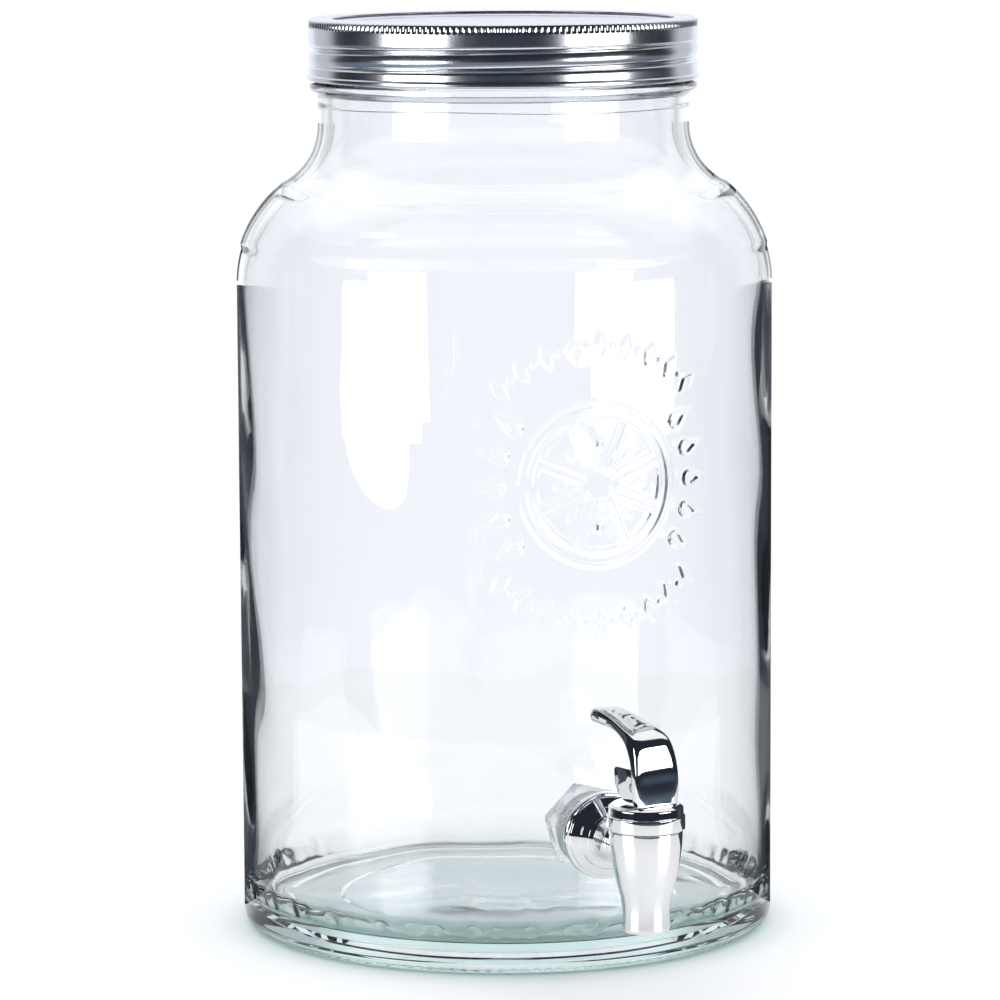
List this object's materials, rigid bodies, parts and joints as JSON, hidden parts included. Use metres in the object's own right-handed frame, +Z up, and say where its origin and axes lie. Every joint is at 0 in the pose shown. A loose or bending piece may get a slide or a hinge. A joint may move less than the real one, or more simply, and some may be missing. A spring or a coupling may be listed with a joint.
{
  "type": "beverage dispenser",
  "caption": "Clear glass jar drink dispenser with a two-piece metal screw lid and a chrome lift-lever tap near its base.",
  "frame": {"origin": "centre of the flat panel under the jar's base, on the jar's axis, 2.5 mm above the ring it stands on", "axes": "+Z up along the jar's axis to the lid; the tap points towards -Y"},
  "size_m": [0.18, 0.2325, 0.3065],
  "materials": {
    "jar_glass": "clear, smooth, faint blue tint",
    "tinplate": "bright tinplate, slightly satin",
    "chrome": "polished plating",
    "steel": "satin stainless",
    "silicone": "translucent white, soft",
    "nut_plastic": "light grey, moulded"
  },
  "bodies": {
    "jar": {"glass_jar": "jar_glass", "tap_body": "chrome", "bonnet": "chrome", "outer_washer": "silicone", "inner_washer": "silicone", "lock_nut": "nut_plastic", "seat_cup": "silicone"},
    "lid": {"lid_disc": "tinplate", "lid_seal": "silicone"},
    "band": {"screw_band": "tinplate"},
    "swivel": {"return_spring": "steel"},
    "stem": {"stem": "steel", "lever_pin": "steel"},
    "lever": {"lever": "chrome"}
  },
  "joints": [
    {"name": "lid_lift", "type": "slide", "parent": "jar", "child": "lid", "axis": [0, 0, 1], "range_m": [0, 0.024]},
    {"name": "lid_turn", "type": "hinge", "parent": "lid", "child": "band", "pos_m": [0, 0, 0.2925], "axis": [0, 0, 1], "range_deg": [0, 1350]},
    {"name": "lever_swivel", "type": "hinge", "parent": "jar", "child": "swivel", "pos_m": [0, -0.13, 0.0585], "axis": [0, 0, 1], "continuous": true},
    {"name": "stem_lift", "type": "slide", "parent": "swivel", "child": "stem", "axis": [0, 0, 1], "range_m": [0, 0.0022], "stiffness_N_per_m": 200, "springref_m": -0.003, "deforming": ["return_spring", "seat_cup"]},
    {"name": "lever_tilt", "type": "hinge", "parent": "stem", "child": "lever", "pos_m": [0, -0.13, 0.067], "axis": [-0.9563, -0.2924, 0], "range_deg": [0, 46]}
  ],
  "couplings": [
    {"joint": "lid_lift", "follows": "lid_turn", "m_per_rad": 0.00095493},
    {"joint": "lever_tilt", "follows": "stem_lift", "rad_per_m": 357.14}
  ]
}
